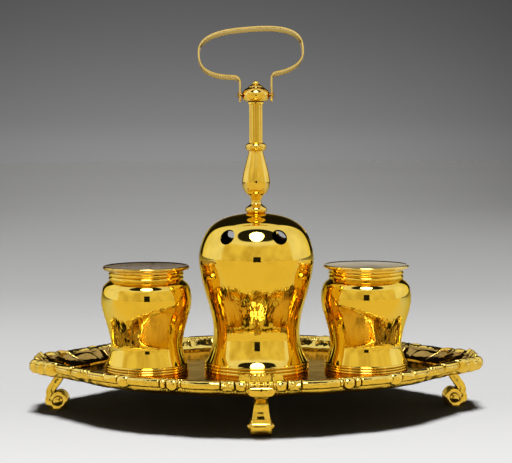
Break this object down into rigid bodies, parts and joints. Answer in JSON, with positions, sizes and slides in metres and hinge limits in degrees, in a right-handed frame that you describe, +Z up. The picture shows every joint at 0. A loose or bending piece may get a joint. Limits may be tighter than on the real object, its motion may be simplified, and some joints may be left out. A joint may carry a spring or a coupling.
{
  "type": "desk inkstand",
  "caption": "Brass desk inkstand: shaped tray on scroll feet with a tall quill pot under a folding carrying handle, a pounce pot and an ink pot with lift-off lids.",
  "frame": {"origin": "on the table under the centre of the tray", "axes": "+Z up, +X along the tray from the pounce pot to the ink pot, -Y towards the writer"},
  "size_m": [0.2996, 0.2066, 0.2529],
  "materials": {
    "pot_brass": "mirror polished, with a few faint scratches and pits",
    "cast_brass": "cast and polished, dark in the recesses",
    "tray_brass": "mirror polished, slightly dulled",
    "lid_brass": "turned and polished, slightly dulled",
    "strap_brass": "rolled strap, satin polished",
    "dark_brass": "tarnished",
    "iron": "dark iron, dull",
    "liner_glass": "clear glass"
  },
  "bodies": {
    "stand": {"tray_plate": "tray_brass", "border_front": "cast_brass", "border_rear": "cast_brass", "border_left": "cast_brass", "border_right": "cast_brass", "front_foot": "cast_brass", "rear_foot": "cast_brass", "left_foot": "cast_brass", "right_foot": "cast_brass", "foot_pins": "dark_brass", "quill_pot": "pot_brass", "stem_collar": "pot_brass", "stem_pear": "pot_brass", "stem_knop": "pot_brass", "stem_column": "pot_brass", "stem_cap": "pot_brass", "finial": "pot_brass", "tie_rod": "iron", "tie_washer": "iron", "tie_nut": "iron", "pivot_studs": "dark_brass", "pounce_pot": "pot_brass", "ink_pot": "pot_brass", "ink_liner": "liner_glass", "pot_screws": "iron", "pot_washers": "iron"},
    "carrying_handle": {"handle": "strap_brass"},
    "pierced_lid": {"pounce_lid": "lid_brass"},
    "plain_lid": {"ink_lid": "lid_brass"}
  },
  "joints": [
    {"name": "handle_fold", "type": "hinge", "parent": "stand", "child": "carrying_handle", "pos_m": [0, 0, 0.20691], "axis": [1, 0, 0], "range_deg": [-150, 176]},
    {"name": "pierced_lid_lift", "type": "slide", "parent": "stand", "child": "pierced_lid", "axis": [0, 0, 1], "range_m": [0, 0.04]},
    {"name": "plain_lid_lift", "type": "slide", "parent": "stand", "child": "plain_lid", "axis": [0, 0, 1], "range_m": [0, 0.04]}
  ]
}
